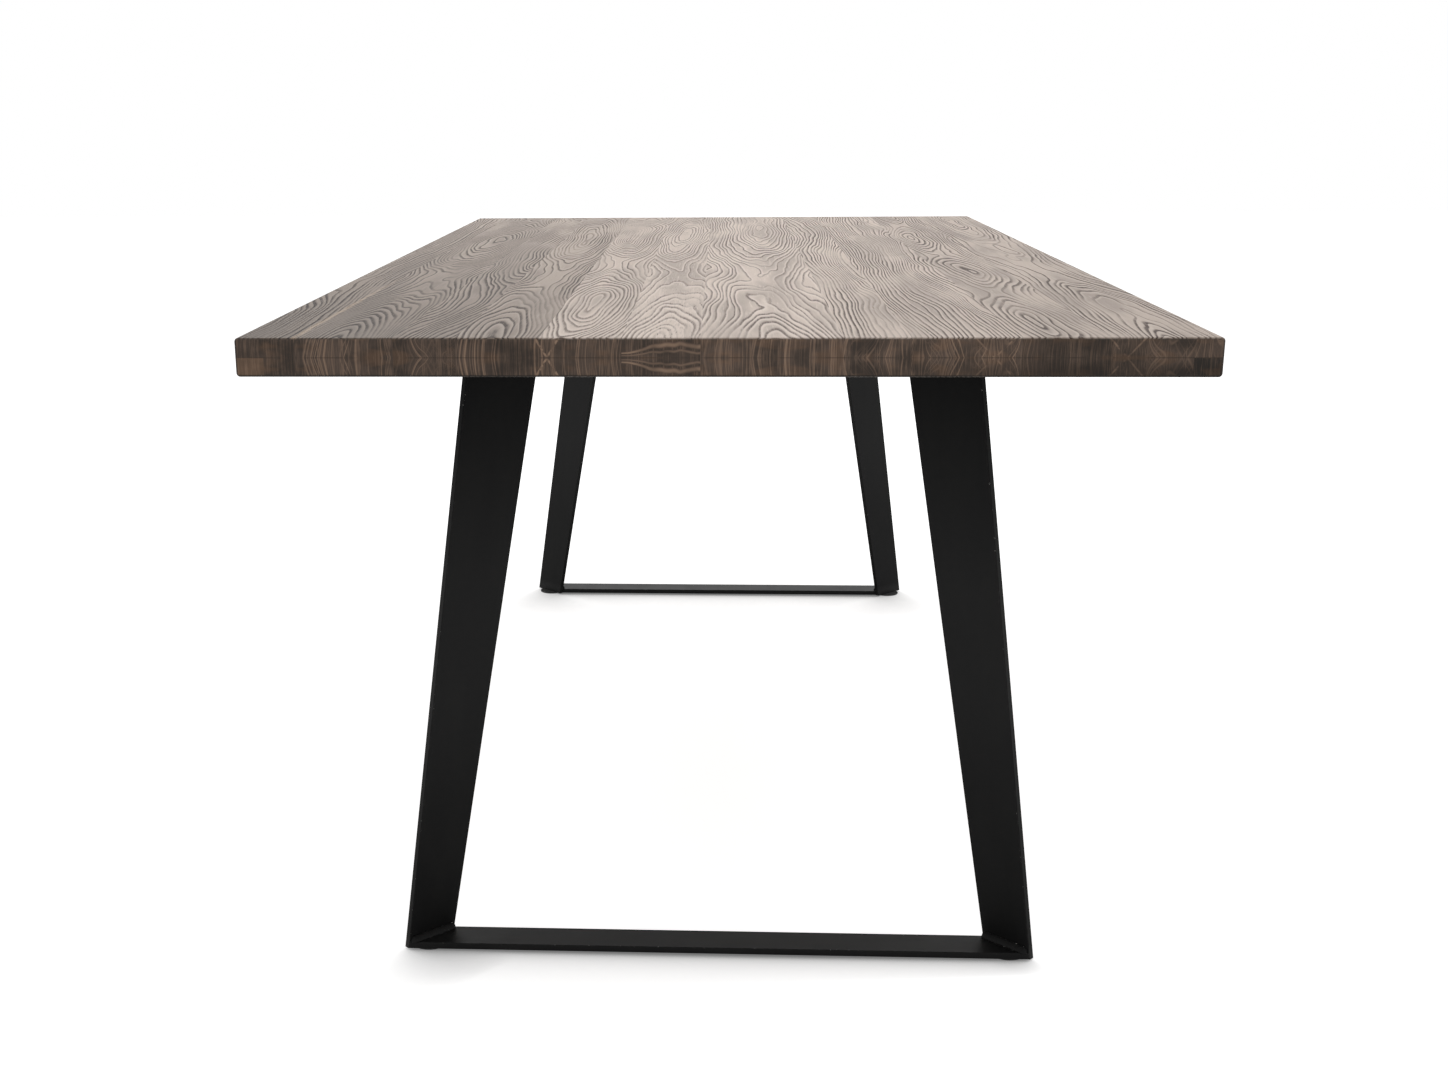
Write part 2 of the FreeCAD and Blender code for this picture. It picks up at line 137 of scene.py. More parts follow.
@dataclass(frozen=True)
class Graph:
    """Node tree of one material or world, with short calls for the nodes that the finishes use."""

    tree: NodeTree

    def __post_init__(self) -> None:
        """Start from an empty tree."""
        self.tree.nodes.clear()

    def put(self, socket: NodeSocket, value: object) -> None:
        """Link an input to an output, or give it a fixed value.

        Args:
            socket: The input to feed.
            value: An output, a number or a colour.
        """
        if isinstance(value, Value):
            self.tree.links.new(value.socket, socket)
        elif isinstance(value, tuple) and socket.type == "RGBA":
            socket.default_value = (*value, 1.0)
        else:
            socket.default_value = value

    def add(self, kind: str, inputs: Dict[Key, object], output: Key = 0, **settings: object) -> Value:
        """Add a node and feed it.

        Args:
            kind: The node's type name.
            inputs: What its inputs get, by name or number.
            output: Name or number of the output that is wanted.
            settings: Properties to set on it.

        Returns:
            The output.
        """
        item = self.tree.nodes.new(kind)
        for key, value in settings.items():
            setattr(item, key, value)
        for key, value in inputs.items():
            self.put(item.inputs[key], value)
        return Value(self, item.outputs[output])

    def end(self, kind: str, shader: Value) -> None:
        """End the graph.

        Args:
            kind: Type name of the output node.
            shader: What it shows.
        """
        self.put(self.tree.nodes.new(kind).inputs["Surface"], shader)

    def math(self, operation: str, *terms: Term, clamp: bool = False) -> Value:
        """Work out a number.

        Args:
            operation: Name of the operation.
            terms: One to three numbers.
            clamp: Keep the result between 0 and 1.

        Returns:
            The result.
        """
        return self.add("ShaderNodeMath", dict(enumerate(terms)), operation=operation, use_clamp=clamp)

    def most(self, *terms: Term) -> Term:
        """Find the largest number.

        Args:
            terms: The numbers.

        Returns:
            The largest of them.
        """
        return reduce(lambda left, right: self.math("MAXIMUM", left, right), terms)

    def length(self, first: Value, second: Value) -> Value:
        """Length of a slanted line.

        Args:
            first: One leg of its triangle.
            second: The other leg.

        Returns:
            The length.
        """
        return self.math("SQRT", first * first + second * second)

    def combine(self, *parts: Term) -> Value:
        """Make a vector.

        Args:
            parts: Its three parts.

        Returns:
            The vector.
        """
        return self.add("ShaderNodeCombineXYZ", dict(enumerate(parts)))

    def separate(self, vector: Value) -> Tuple[Value, ...]:
        """Split a vector.

        Args:
            vector: The vector.

        Returns:
            Its three parts.
        """
        first = self.add("ShaderNodeSeparateXYZ", {0: vector})
        return tuple(Value(self, socket) for socket in first.socket.node.outputs)

    def place(self) -> Tuple[Value, ...]:
        """Read the place on the object.

        Returns:
            The three object coordinates in millimetres.
        """
        place = self.add("ShaderNodeTexCoord", {}, "Object")
        return tuple(part * PER_METRE for part in self.separate(place))

    def chance(self, number: Value) -> Value:
        """A fixed random value between 0 and 1 for each number.

        Args:
            number: What the value belongs to.

        Returns:
            The value.
        """
        return self.add("ShaderNodeTexWhiteNoise", {"W": number}, "Value", noise_dimensions="1D")

    def sway(self, noise: Value, reach: Term) -> Value:
        """Turn noise between 0 and 1 into a swing about 0.

        Args:
            noise: The noise.
            reach: Half the swing at full noise.

        Returns:
            The swing.
        """
        return self.math("MULTIPLY_ADD", noise, 2.0, -1.0) * reach

    def step(self, value: Value, low: float, high: float) -> Value:
        """A soft step from 0 at one value to 1 at another.

        Args:
            value: What is read.
            low: Where the step starts.
            high: Where the step ends.

        Returns:
            The step.
        """
        inputs = {"Value": value, "From Min": low, "From Max": high}
        return self.add("ShaderNodeMapRange", inputs, interpolation_type="SMOOTHSTEP")

    def span(self, value: Value, low: Term, high: Term) -> Value:
        """A straight run from one result at 0 to another at 1.

        Args:
            value: What is read, from 0 to 1.
            low: Result at 0.
            high: Result at 1.

        Returns:
            The result.
        """
        return self.add("ShaderNodeMapRange", {"Value": value, "To Min": low, "To Max": high})

    def curve(self, value: Value, stops: Sequence[Range], stepped: bool = False) -> Value:
        """Read a grey ramp.

        Args:
            value: Where to read it, from 0 to 1.
            stops: Places on the ramp and their grey values, in order.
            stepped: Hold each value up to the next place.

        Returns:
            The grey value.
        """
        result = self.add("ShaderNodeValToRGB", {0: value})
        ramp = result.socket.node.color_ramp
        ramp.interpolation = "CONSTANT" if stepped else "LINEAR"
        while len(ramp.elements) < len(stops):
            ramp.elements.new(1.0)
        for element, (place, grey) in zip(ramp.elements, stops):
            element.position = place
            element.color = (grey, grey, grey, 1.0)
        return result

    def blend(self, share: Term, first: object, second: object, mode: str = "MIX") -> Value:
        """Mix two colours.

        Args:
            share: Weight of the second colour.
            first: First colour.
            second: Second colour.
            mode: Way of mixing.

        Returns:
            The mixed colour.
        """
        # Inputs 6 and 7 and output 2 of the mix node are its colours.
        inputs = {0: share, 6: first, 7: second}
        return self.add("ShaderNodeMix", inputs, 2, data_type="RGBA", blend_type=mode)

    def dim(self, colour: object, light: Term) -> Value:
        """Darken a colour evenly.

        Args:
            colour: The colour.
            light: Share of it that is left.

        Returns:
            The darker colour.
        """
        return self.blend(1.0, colour, self.combine(light, light, light), "MULTIPLY")

    def surface(self, relief: Value, bump: Range, **inputs: object) -> None:
        """Finish a material with one surface shader.

        Args:
            relief: Height of its relief from 0 to 1.
            bump: Depth of the relief in metres, and the share of it that shows.
            inputs: The shader's other inputs, with underscores for spaces.
        """
        depth, share = bump
        normal = self.add("ShaderNodeBump", {"Strength": share, "Distance": depth, "Height": relief})
        named = {key.replace("_", " "): value for key, value in inputs.items()}
        shader = self.add("ShaderNodeBsdfPrincipled", {"Normal": normal, **named})
        self.end("ShaderNodeOutputMaterial", shader)


def new_material(name: str) -> Tuple[Material, Graph]:
    """Start a material.

    Args:
        name: Name of the finish.

    Returns:
        The material and its empty graph.
    """
    material = bpy.data.materials.new(name)
    material.use_nodes = True
    return material, Graph(material.node_tree)


@dataclass(frozen=True)
class Mottle:
    """Smooth noise between 0 and 1, with features of a set width, length and depth in millimetres.

    Without a depth the noise is the same all the way down, and its layer sets it apart from others. The cut
    is where marks made from the noise start and where they are full.
    """

    width: float
    length: float
    depth: Optional[float] = None
    cut: Range = (0.0, 1.0)
    layer: float = 0.0
    detail: float = 1.0
    rough: float = 0.5
    twist: float = 0.0

    def read(self, graph: Graph, across: Term, along: Term, down: Value) -> Value:
        """Read the noise at a place.

        Args:
            graph: Graph of the finish.
            across: Place on the width.
            along: Place on the length.
            down: Place on the depth.

        Returns:
            The noise.
        """
        third = self.layer if self.depth is None else down * (1 / self.depth)
        inputs = {
            "Vector": graph.combine(across * (1 / self.width), along * (1 / self.length), third),
            "Scale": 1.0,
            "Detail": self.detail,
            "Roughness": self.rough,
            "Distortion": self.twist,
        }
        return graph.add("ShaderNodeTexNoise", inputs, noise_dimensions="3D")


@dataclass(frozen=True)
class BoardFigure:
    """Figure of one board, in millimetres: where the pith of its tree lay and how the rings run.

    The pith lies below the show face at pith_depth, and swells up and down along the board by swell, once
    in swell_length. It comes nearest to the face at swell_peak, where the rings close into an oval. Rings
    are ring wide and wander by wobble. The rest are strengths of ring lines and pores, the tone at the
    front and at the rear, and the tone, rays, lean of the rays, crossing rays and bands of the cut end.
    """

    pith_x: Term
    pith_depth: Term
    swell: Term
    swell_length: Term
    swell_peak: Term
    ring: Term
    wobble: Term
    line: Term
    flecks: Term
    tone_front: Term
    tone_rear: Term
    end_tone: Term
    end_rays: Term
    end_lean: Term
    end_cross: Term = 0.0
    end_bands: Term = 0.0


@dataclass
class Wood:
    """A place in the wood and the figure of the board there, as values of one graph.

    The place is across and along the table and off the glue line, which is called fold. The seed shifts
    the noise along each board, so that no two boards share it.
    """

    graph: Graph
    across: Value
    along: Value
    fold: Value
    seed: Term
    figure: BoardFigure
    shifted: Value = field(init=False)

    def __post_init__(self) -> None:
        """Work out the place along the board's own noise."""
        self.shifted = self.along + self.seed

    def mottle(self, noise: Mottle, across: Optional[Term] = None) -> Value:
        """Read a noise at this place.

        Args:
            noise: Which noise.
            across: Place across the table, where it isn't this one.

        Returns:
            The noise.
        """
        return noise.read(self.graph, self.across if across is None else across, self.shifted, self.fold)

    def marks(self, noise: Mottle, across: Optional[Term] = None) -> Value:
        """Cut marks out of a noise.

        Args:
            noise: Which noise.
            across: Place across the table, where it isn't this one.

        Returns:
            1 on a mark and 0 beside it.
        """
        return self.graph.step(self.mottle(noise, across), *noise.cut)


@dataclass(frozen=True)
class GrowthRings:
    """Growth rings round a wandering pith, as the faces of a board cut them."""

    board_thickness: float = 20.0
    drift: Mottle = Mottle(1.0, 700.0, layer=2.5, detail=0.0)
    drift_reach: float = 24.0
    loose_swell: Mottle = Mottle(120.0, 420.0, layer=0.5)
    loose_share: float = 0.5
    wave_share: float = -0.75
    least_depth: float = 0.5
    broad_bend: Mottle = Mottle(64.0, 440.0, depth=60.0, detail=0.7, twist=0.25)
    small_bend: Mottle = Mottle(24.0, 170.0, depth=24.0)
    small_bend_rings: float = 1.1
    season: Mottle = Mottle(26.0, 1.0, layer=8.5)
    season_rings: float = 1.5
    slope_reach: float = 0.5
    slope_stretch: float = 7.0
    line_width: float = 3.0
    line_weight: Range = (0.65, 1.25)
    narrowest_line: float = 0.1
    widest_line: float = 0.55
    line_end: Range = (0.3, 1.0)
    line_start: Range = (0.0, 0.3)
    rim_highlight_start: Range = (0.4, 1.5)

    def count(self, wood: Wood) -> Value:
        """Number of growth rings between a place and the pith of the board's tree.

        Args:
            wood: The place.

        Returns:
            The number with its fraction.
        """
        graph, figure = wood.graph, wood.figure
        pith = figure.pith_x + graph.sway(wood.mottle(self.drift, 0.0), self.drift_reach)
        turn = (wood.along - figure.swell_peak) / figure.swell_length * math.tau
        wave = graph.math("COSINE", turn) * self.wave_share
        loose = graph.sway(wood.mottle(self.loose_swell), self.loose_share)
        depth = figure.pith_depth + (loose + wave) * figure.swell + (wood.fold - self.board_thickness)
        radius = graph.length(wood.across - pith, graph.most(depth, self.least_depth))
        broad = graph.sway(wood.mottle(self.broad_bend), figure.wobble)
        small = graph.sway(wood.mottle(self.small_bend), figure.ring * self.small_bend_rings)
        bent = radius + broad + small
        season = self.season.read(graph, bent, figure.swell_peak, wood.fold)
        return (bent + graph.sway(season, figure.ring * self.season_rings)) / figure.ring

    def lines(self, wood: Wood, side_share: Value) -> Tuple[Value, Value, Value]:
        """Early wood as an even line opening each ring, and pale late wood with a painted highlight before
        it.

        Args:
            wood: The place.
            side_share: 1 on the long sides of the table, where the face runs down instead of across.

        Returns:
            The strength of the line, of the pale rim with its painted highlight, and the number of the ring.
        """
        graph, reach = wood.graph, self.slope_reach
        beside = replace(
            wood,
            across=wood.across + graph.span(side_share, reach, 0.0),
            fold=wood.fold + graph.span(side_share, 0.0, reach),
        )
        beyond = replace(wood, along=wood.along + reach * self.slope_stretch)
        count = self.count(wood)
        slope = graph.length(*(self.count(place) - count for place in (beside, beyond))) * (1 / reach)
        ring_number = graph.math("FLOOR", count)
        weight = graph.span(graph.chance(ring_number), *self.line_weight)
        width = graph.math("MINIMUM", slope * self.line_width * weight, self.widest_line)
        width = graph.most(width, self.narrowest_line)
        part = graph.math("FRACT", count)
        after, before = part / width, (1.0 - part) / width
        fall, rise = graph.step(after, *self.line_end), graph.step(before, *self.line_start)
        line = graph.most(1.0 - fall, 1.0 - rise)
        # The pale rim before each line is late wood with a painted highlight where it stands proud.
        return line, 1.0 - graph.step(before, *self.rim_highlight_start), ring_number


@dataclass(frozen=True)
class SapStreak:
    """Pale sapwood line along one joint, from the front end to about a third of the length."""

    tint: Rgb = linear(176, 154, 132)
    joint: float = -438.0
    width: float = 4.2
    fading: Range = (-720.0, -220.0)
    strength: float = 0.7

    def paint(self, wood: Wood, colour: Value, grain: Value) -> Value:
        """Lay the line over a face.

        Args:
            wood: The place.
            colour: Colour of the face.
            grain: Fine noise that frays the line.

        Returns:
            The colour with the line.
        """
        graph = wood.graph
        frayed = abs(wood.across - self.joint) + graph.sway(grain, self.width)
        line = (1.0 - graph.step(frayed, 0.0, self.width)) * (1.0 - graph.step(wood.along, *self.fading))
        return graph.blend(line * self.strength, colour, self.tint)


@dataclass(frozen=True)
class LongGrain:
    """Faces along the grain: dark ring lines and pores on a clouded ground with pale rays."""

    pale: Rgb = linear(194, 177, 164)
    middle: Rgb = linear(160, 144, 132)
    dark: Rgb = linear(66, 45, 33)
    ray_and_highlight_tint: Rgb = linear(214, 199, 187)
    sap: Optional[SapStreak] = None
    ring_strength: Range = (0.62, 1.0)
    fading: Mottle = Mottle(48.0, 300.0, cut=(0.32, 0.54), layer=7.5)
    faded_strength: Range = (0.38, 1.0)
    pores: Mottle = Mottle(1.5, 26.0, depth=1.5, cut=(0.54, 0.7), detail=2.0, rough=0.6)
    pore_strength: Range = (0.25, 1.0)
    dash_step: Range = (0.34, 0.58)
    dash_strength: Range = (0.68, 1.15)
    clouds: Mottle = Mottle(55.0, 360.0, cut=(0.38, 0.62), layer=0.3, detail=3.0)
    rays: Mottle = Mottle(2.4, 70.0, cut=(0.55, 0.74), layer=4.5, detail=2.0)
    ray_strength: float = 0.45
    rim_highlight_strength: float = 0.7
    table_length: float = 2000.0
    green_fall: float = 1.08
    blue_fall: float = 1.18

    def paint(self, wood: Wood, rings: Tuple[Value, Value, Value]) -> Tuple[Value, Value]:
        """Colour and relief of the faces.

        Args:
            wood: The place.
            rings: Line, pale rim and number of the ring.

        Returns:
            The colour, and the height of the relief from 0 to 1.
        """
        graph, figure = wood.graph, wood.figure
        early, rim, ring_number = rings
        luck = graph.span(graph.chance(ring_number + figure.swell_peak), *self.ring_strength)
        strength = luck * graph.span(wood.marks(self.fading), *self.faded_strength)
        grain = wood.mottle(self.pores)
        pores = graph.step(grain, *self.pores.cut) * graph.span(early, *self.pore_strength) * figure.flecks
        dashes = graph.span(graph.step(grain, *self.dash_step), *self.dash_strength)
        mark = graph.math("MAXIMUM", early * strength * dashes * figure.line, pores, clamp=True)
        ground = graph.blend(wood.marks(self.clouds), self.middle, self.pale)
        # Pale rays, and the pale rim of late wood with its painted highlight.
        pale = graph.most(wood.marks(self.rays) * self.ray_strength, rim * strength * self.rim_highlight_strength)
        marked = graph.blend(mark, graph.blend(pale, ground, self.ray_and_highlight_tint), self.dark)
        rearward = graph.math("MULTIPLY_ADD", wood.along, 1 / self.table_length, 0.5, clamp=True)
        tone = graph.span(rearward, figure.tone_front, figure.tone_rear)
        warm = graph.combine(tone, tone**self.green_fall, tone**self.blue_fall)
        colour = graph.blend(1.0, marked, warm, "MULTIPLY")
        if self.sap:
            colour = self.sap.paint(wood, colour, grain)
        return colour, 1.0 - mark


@dataclass(frozen=True)
class EndBand:
    """Pale band on a cut end: its distance from the glue line, its width and its strength."""

    fold: float
    width: float
    strength: float


@dataclass(frozen=True)
class RayCrossing:
    """Two pale rays that meet at the glue line of a cut end: where, how they lean and their strength."""

    across: float
    lean: float
    strength: float


@dataclass(frozen=True)
class EndGrain:
    """Cut ends: patchy dark ground, pale rays, bands and crossings, mirrored about the glue line."""

    ground: Rgb = linear(94, 80, 71)
    shade: Rgb = linear(65, 56, 50)
    warm: Rgb = linear(110, 86, 68)
    line: Rgb = linear(168, 140, 119)
    seam: Rgb = linear(30, 26, 24)
    patches: Mottle = Mottle(38.0, 100.0, depth=30.0, cut=(0.34, 0.66), detail=3.0)
    blushes: Mottle = Mottle(34.0, 100.0, depth=14.0, cut=(0.5, 0.7), detail=2.0)
    blush_strength: float = 0.55
    fan: Mottle = Mottle(30.0, 100.0, layer=5.1)
    fan_reach: float = 2.2
    ray_bow: float = 0.004
    rays: Mottle = Mottle(1.8, 100.0, cut=(0.5, 0.74), layer=0.7)
    cross_rays: Mottle = Mottle(2.0, 100.0, cut=(0.5, 0.74), layer=3.7)
    hairs: Mottle = Mottle(1.2, 100.0, depth=26.0, cut=(0.48, 0.74))
    hair_strength: float = 0.4
    bands: Tuple[EndBand, ...] = (EndBand(5.5, 1.8, 0.55), EndBand(11.5, 3.2, 1.0))
    band_core: float = 0.2
    band_wave: Mottle = Mottle(24.0, 100.0, layer=1.9, detail=2.0)
    band_sway: float = 6.0
    band_run: Range = (-104.0, -56.0)
    band_spread: Range = (0.4, 1.1)
    crossings: Tuple[RayCrossing, ...] = ()
    crossing_edge: Range = (0.4, 2.0)
    frays: Mottle = Mottle(5.0, 100.0, depth=5.0, cut=(0.3, 0.6))
    fibre_step: Range = (0.18, 0.58)
    seam_edge: Range = (0.2, 0.8)
    seam_step: Range = (0.4, 0.6)
    seam_strength: float = 0.45
    relief: Range = (0.4, 0.7)

    def paint(self, wood: Wood) -> Tuple[Value, Value]:
        """Colour and relief of the cut ends.

        Args:
            wood: The place.

        Returns:
            The colour, and the height of the relief from 0 to 1.
        """
        graph = wood.graph
        patch = wood.mottle(self.patches)
        ground = graph.blend(graph.step(patch, *self.patches.cut), self.shade, self.ground)
        ground = graph.blend(wood.marks(self.blushes) * self.blush_strength, ground, self.warm)
        fibre = graph.most(*self._rays(wood), *self._bands(wood), *self._crossings(wood))
        share = fibre * graph.step(patch, *self.fibre_step)
        lined = graph.blend(graph.math("MINIMUM", share, 1.0), ground, self.line)
        seam = (1.0 - graph.step(wood.fold, *self.seam_edge)) * graph.step(patch, *self.seam_step)
        lined = graph.blend(seam * self.seam_strength, lined, self.seam)
        return graph.dim(lined, wood.figure.end_tone), graph.span(share, *self.relief)

    def _rays(self, wood: Wood) -> List[Value]:
        """Leaning rays both ways, and fine hairs that stand upright.

        Args:
            wood: The place.

        Returns:
            The strength of each kind.
        """
        graph, figure = wood.graph, wood.figure
        fan = graph.sway(wood.mottle(self.fan), self.fan_reach)
        slant = wood.fold * figure.end_lean * fan + wood.fold * wood.fold * self.ray_bow
        return [
            wood.marks(self.rays, wood.across - slant) * figure.end_rays,
            wood.marks(self.cross_rays, wood.across + slant) * figure.end_cross,
            wood.marks(self.hairs) * self.hair_strength,
        ]

    def _bands(self, wood: Wood) -> List[Value]:
        """Wavy bands that open to the right.

        Args:
            wood: The place.

        Returns:
            The strength of each band.
        """
        graph = wood.graph
        spread = graph.span(graph.step(wood.across, *self.band_run), *self.band_spread)
        swung = wood.fold / spread + graph.sway(wood.mottle(self.band_wave), self.band_sway)
        strengths = []
        for band in self.bands:
            core = 1.0 - graph.step(abs(swung - band.fold), self.band_core, band.width)
            strengths.append(core * wood.figure.end_bands * band.strength)
        return strengths

    def _crossings(self, wood: Wood) -> List[Value]:
        """Frayed pairs of rays at set places.

        Args:
            wood: The place.

        Returns:
            The strength of each pair.
        """
        graph, frayed = wood.graph, wood.marks(self.frays)
        strengths = []
        for pair in self.crossings:
            off_line = abs(abs(wood.across - pair.across) - wood.fold * pair.lean)
            line = 1.0 - graph.step(off_line, *self.crossing_edge)
            strengths.append(line * frayed * pair.strength)
        return strengths


@dataclass(frozen=True)
class PaintedEdgeShade:
    """Painted shade on the rounded edges of the wood: dark on lower edges and corners, faint on upper ones.
    """

    lower_shade: float = 0.85
    upper_shade: float = 0.2
    corner_shade: float = 0.75
    side_turn: Range = (0.2, 0.7)
    end_turn: Range = (0.08, 0.2)
    edge_start: Range = (0.2, 0.65)
    edge_end: Range = (0.95, 0.995)

    def light(self, graph: Graph, facing: Tuple[Value, ...]) -> Value:
        """Light that the painted edge shade leaves.

        Args:
            graph: Graph of the finish.
            facing: The three parts of the surface normal.

        Returns:
            The share of the colour that is left.
        """
        sideways, endways, rise = facing
        corner = graph.step(abs(sideways), *self.side_turn) * graph.step(abs(endways), *self.end_turn)
        shades = [corner * self.corner_shade]
        for lift, shade in ((rise * -1.0, self.lower_shade), (rise, self.upper_shade)):
            turned = graph.step(lift, *self.edge_start) - graph.step(lift, *self.edge_end)
            shades.append(turned * shade)
        return 1.0 - graph.most(*shades)


@dataclass(frozen=True)
class OakFinish:
    """Smoked oak with a satin oil: growth rings, pores and rays through the wood, darker on end grain."""

    name: str
    figures: Tuple[BoardFigure, ...]
    joints: Tuple[float, ...] = ()
    rings: GrowthRings = GrowthRings()
    faces: LongGrain = LongGrain()
    ends: EndGrain = EndGrain()
    # Painted shade on the rounded edges.
    edges: PaintedEdgeShade = PaintedEdgeShade()
    glue_line: float = 730.0
    seed_step: float = 377.0
    face_turn: Range = (0.45, 0.9)
    strip_shade: float = 0.4
    strip_depth: Range = (-4.0, 16.0)
    strip_run: Range = (60.0, 300.0)
    face_rough: Range = (0.68, 0.56)
    end_rough: float = 0.66
    sheen: float = 0.22
    bump: Range = (0.0006, 0.35)

    def material(self) -> Material:
        """Make the finish.

        Returns:
            The material.
        """
        material, graph = new_material(self.name)
        across, along, height = graph.place()
        board = sum((graph.math("GREATER_THAN", across, joint) for joint in self.joints), 0.0)
        figure = BoardFigure(*(self._trait(graph, board, trait.name) for trait in fields(BoardFigure)))
        wood = Wood(graph, across, along, abs(height - self.glue_line), board * self.seed_step, figure)
        facing = graph.separate(graph.add("ShaderNodeNewGeometry", {}, "Normal"))
        side_share, end_share = (graph.step(abs(part), *self.face_turn) for part in facing[:2])
        face_colour, face_relief = self.faces.paint(wood, self.rings.lines(wood, side_share))
        end_colour, end_relief = self.ends.paint(wood)
        below = graph.step(self.glue_line - height, *self.strip_depth)
        strip_dark = below * graph.step(across, *self.strip_run) * self.strip_shade
        colour = graph.blend(end_share, face_colour, graph.dim(end_colour, 1.0 - strip_dark))
        # The base colour carries the painted shade of the rounded edges.
        graph.surface(
            graph.span(end_share, face_relief, end_relief),
            self.bump,
            Base_Color=graph.dim(colour, self.edges.light(graph, facing)),
            Roughness=graph.span(end_share, graph.span(face_relief, *self.face_rough), self.end_rough),
            Specular_IOR_Level=self.sheen,
        )
        return material

    def _trait(self, graph: Graph, board: Term, key: str) -> Term:
        """Look up one trait of the board's figure.

        Args:
            graph: Graph of the finish.
            board: Number of the board, from 0.
            key: Name of the trait.

        Returns:
            The trait's value.
        """
        values = [getattr(figure, key) for figure in self.figures]
        low, high = min(values), max(values)
        if high == low:
            return low
        count = len(values)
        stops = [(number / count, (value - low) / (high - low)) for number, value in enumerate(values)]
        share = graph.math("MULTIPLY_ADD", board, 1.0 / count, 0.5 / count)
        return graph.span(graph.curve(share, stops, stepped=True), low, high)


@dataclass(frozen=True)
class PowderCoat:
    """Matt black powder coat with a fine skin, dulled patches and pale specks worn along the edges.

    The sheen is a ramp over the height of the frame: painted shade, low under the table top and near the
    floor.
    """

    name: str = "black_powder_coat"
    black: Rgb = (0.0052, 0.0052, 0.0053)
    dusty: Rgb = (0.008, 0.008, 0.0079)
    worn: Rgb = (0.11, 0.11, 0.11)
    speck: Rgb = (0.55, 0.54, 0.52)
    skin: Mottle = Mottle(0.9, 0.9, depth=0.9, detail=2.0)
    clouds: Mottle = Mottle(45.0, 45.0, depth=160.0, cut=(0.35, 0.65), detail=3.0)
    rubs: Mottle = Mottle(6.0, 6.0, depth=9.0, cut=(0.5, 0.72), detail=3.0, rough=0.65)
    rub_strength: float = 0.5
    chips: Mottle = Mottle(3.2, 3.2, depth=3.2, cut=(0.7, 0.76))
    edge_radius: float = 0.0014
    edge_samples: int = 6
    edge_turn: Range = (0.86, 0.985)
    rough: Range = (0.46, 0.6)
    bump: Range = (0.00006, 0.35)
    top_height: float = 710.0
    # Painted shade: the sheen drops under the table top and near the floor, and stays high on the foot bar.
    sheen: Tuple[Range, ...] = (
        (0.0, 0.13), (0.016, 0.13), (0.03, 0.075), (0.25, 0.085), (0.45, 0.12), (0.63, 0.12), (1.0, 0.045),
    )

    def material(self) -> Material:
        """Make the finish.

        Returns:
            The material.
        """
        material, graph = new_material(self.name)
        place = graph.place()
        noises = (self.skin, self.clouds, self.rubs, self.chips)
        skin, cloud, rub, chip = (noise.read(graph, *place) for noise in noises)
        edge = self._edge(graph)
        ground = graph.blend(graph.step(cloud, *self.clouds.cut), self.black, self.dusty)
        rubbed = graph.blend(edge * graph.step(rub, *self.rubs.cut) * self.rub_strength, ground, self.worn)
        graph.surface(
            skin,
            self.bump,
            Base_Color=graph.blend(edge * graph.step(chip, *self.chips.cut), rubbed, self.speck),
            Roughness=graph.span(cloud, *self.rough),
            Specular_IOR_Level=graph.curve(place[2] * (1 / self.top_height), self.sheen),
        )
        return material

    def _edge(self, graph: Graph) -> Value:
        """Find the edges of the steel, where a rounded normal turns away from the flat one.

        Args:
            graph: Graph of the finish.

        Returns:
            1 on an edge and 0 on a face.
        """
        rounded = graph.add("ShaderNodeBevel", {"Radius": self.edge_radius}, samples=self.edge_samples)
        flat = graph.add("ShaderNodeNewGeometry", {}, "True Normal")
        likeness = graph.add("ShaderNodeVectorMath", {0: rounded, 1: flat}, "Value", operation="DOT_PRODUCT")
        return 1.0 - graph.step(likeness, *self.edge_turn)


@dataclass(frozen=True)
class GrainyFinish:
    """Even finish with a fine grain, between two colours and two degrees of roughness."""

    name: str
    low: Rgb
    high: Rgb
    grain: Mottle
    rough: Range
    bump: Range
    metallic: float = 0.0

    def material(self) -> Material:
        """Make the finish.

        Returns:
            The material.
        """
        material, graph = new_material(self.name)
        grain = self.grain.read(graph, *graph.place())
        graph.surface(
            grain,
            self.bump,
            Base_Color=graph.blend(graph.step(grain, *self.grain.cut), self.low, self.high),
            Roughness=graph.span(grain, *self.rough),
            Metallic=self.metallic,
        )
        return material


def dress_node(name: str, material: Material) -> None:
    """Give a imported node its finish.

    Args:
        name: Name of the node.
        material: The finish.
    """
    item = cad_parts[name]
    item.data.materials.clear()
    item.data.materials.append(material)
    LOG.info("dressed %s in %s", name, material.name)


def new_object(name: str, mesh: BMesh, material: Material) -> bpy.types.Object:
    """Turn a finished mesh into an object of the scene.

    Args:
        name: Name of the object.
        mesh: Its mesh, in place.
        material: Its finish.

    Returns:
        The object.
    """
    data = bpy.data.meshes.new(name)
    mesh.to_mesh(data)
    mesh.free()
    data.materials.append(material)
    item = bpy.data.objects.new(name, data)
    bpy.context.scene.collection.objects.link(item)
    LOG.info("built %s", name)
    return item


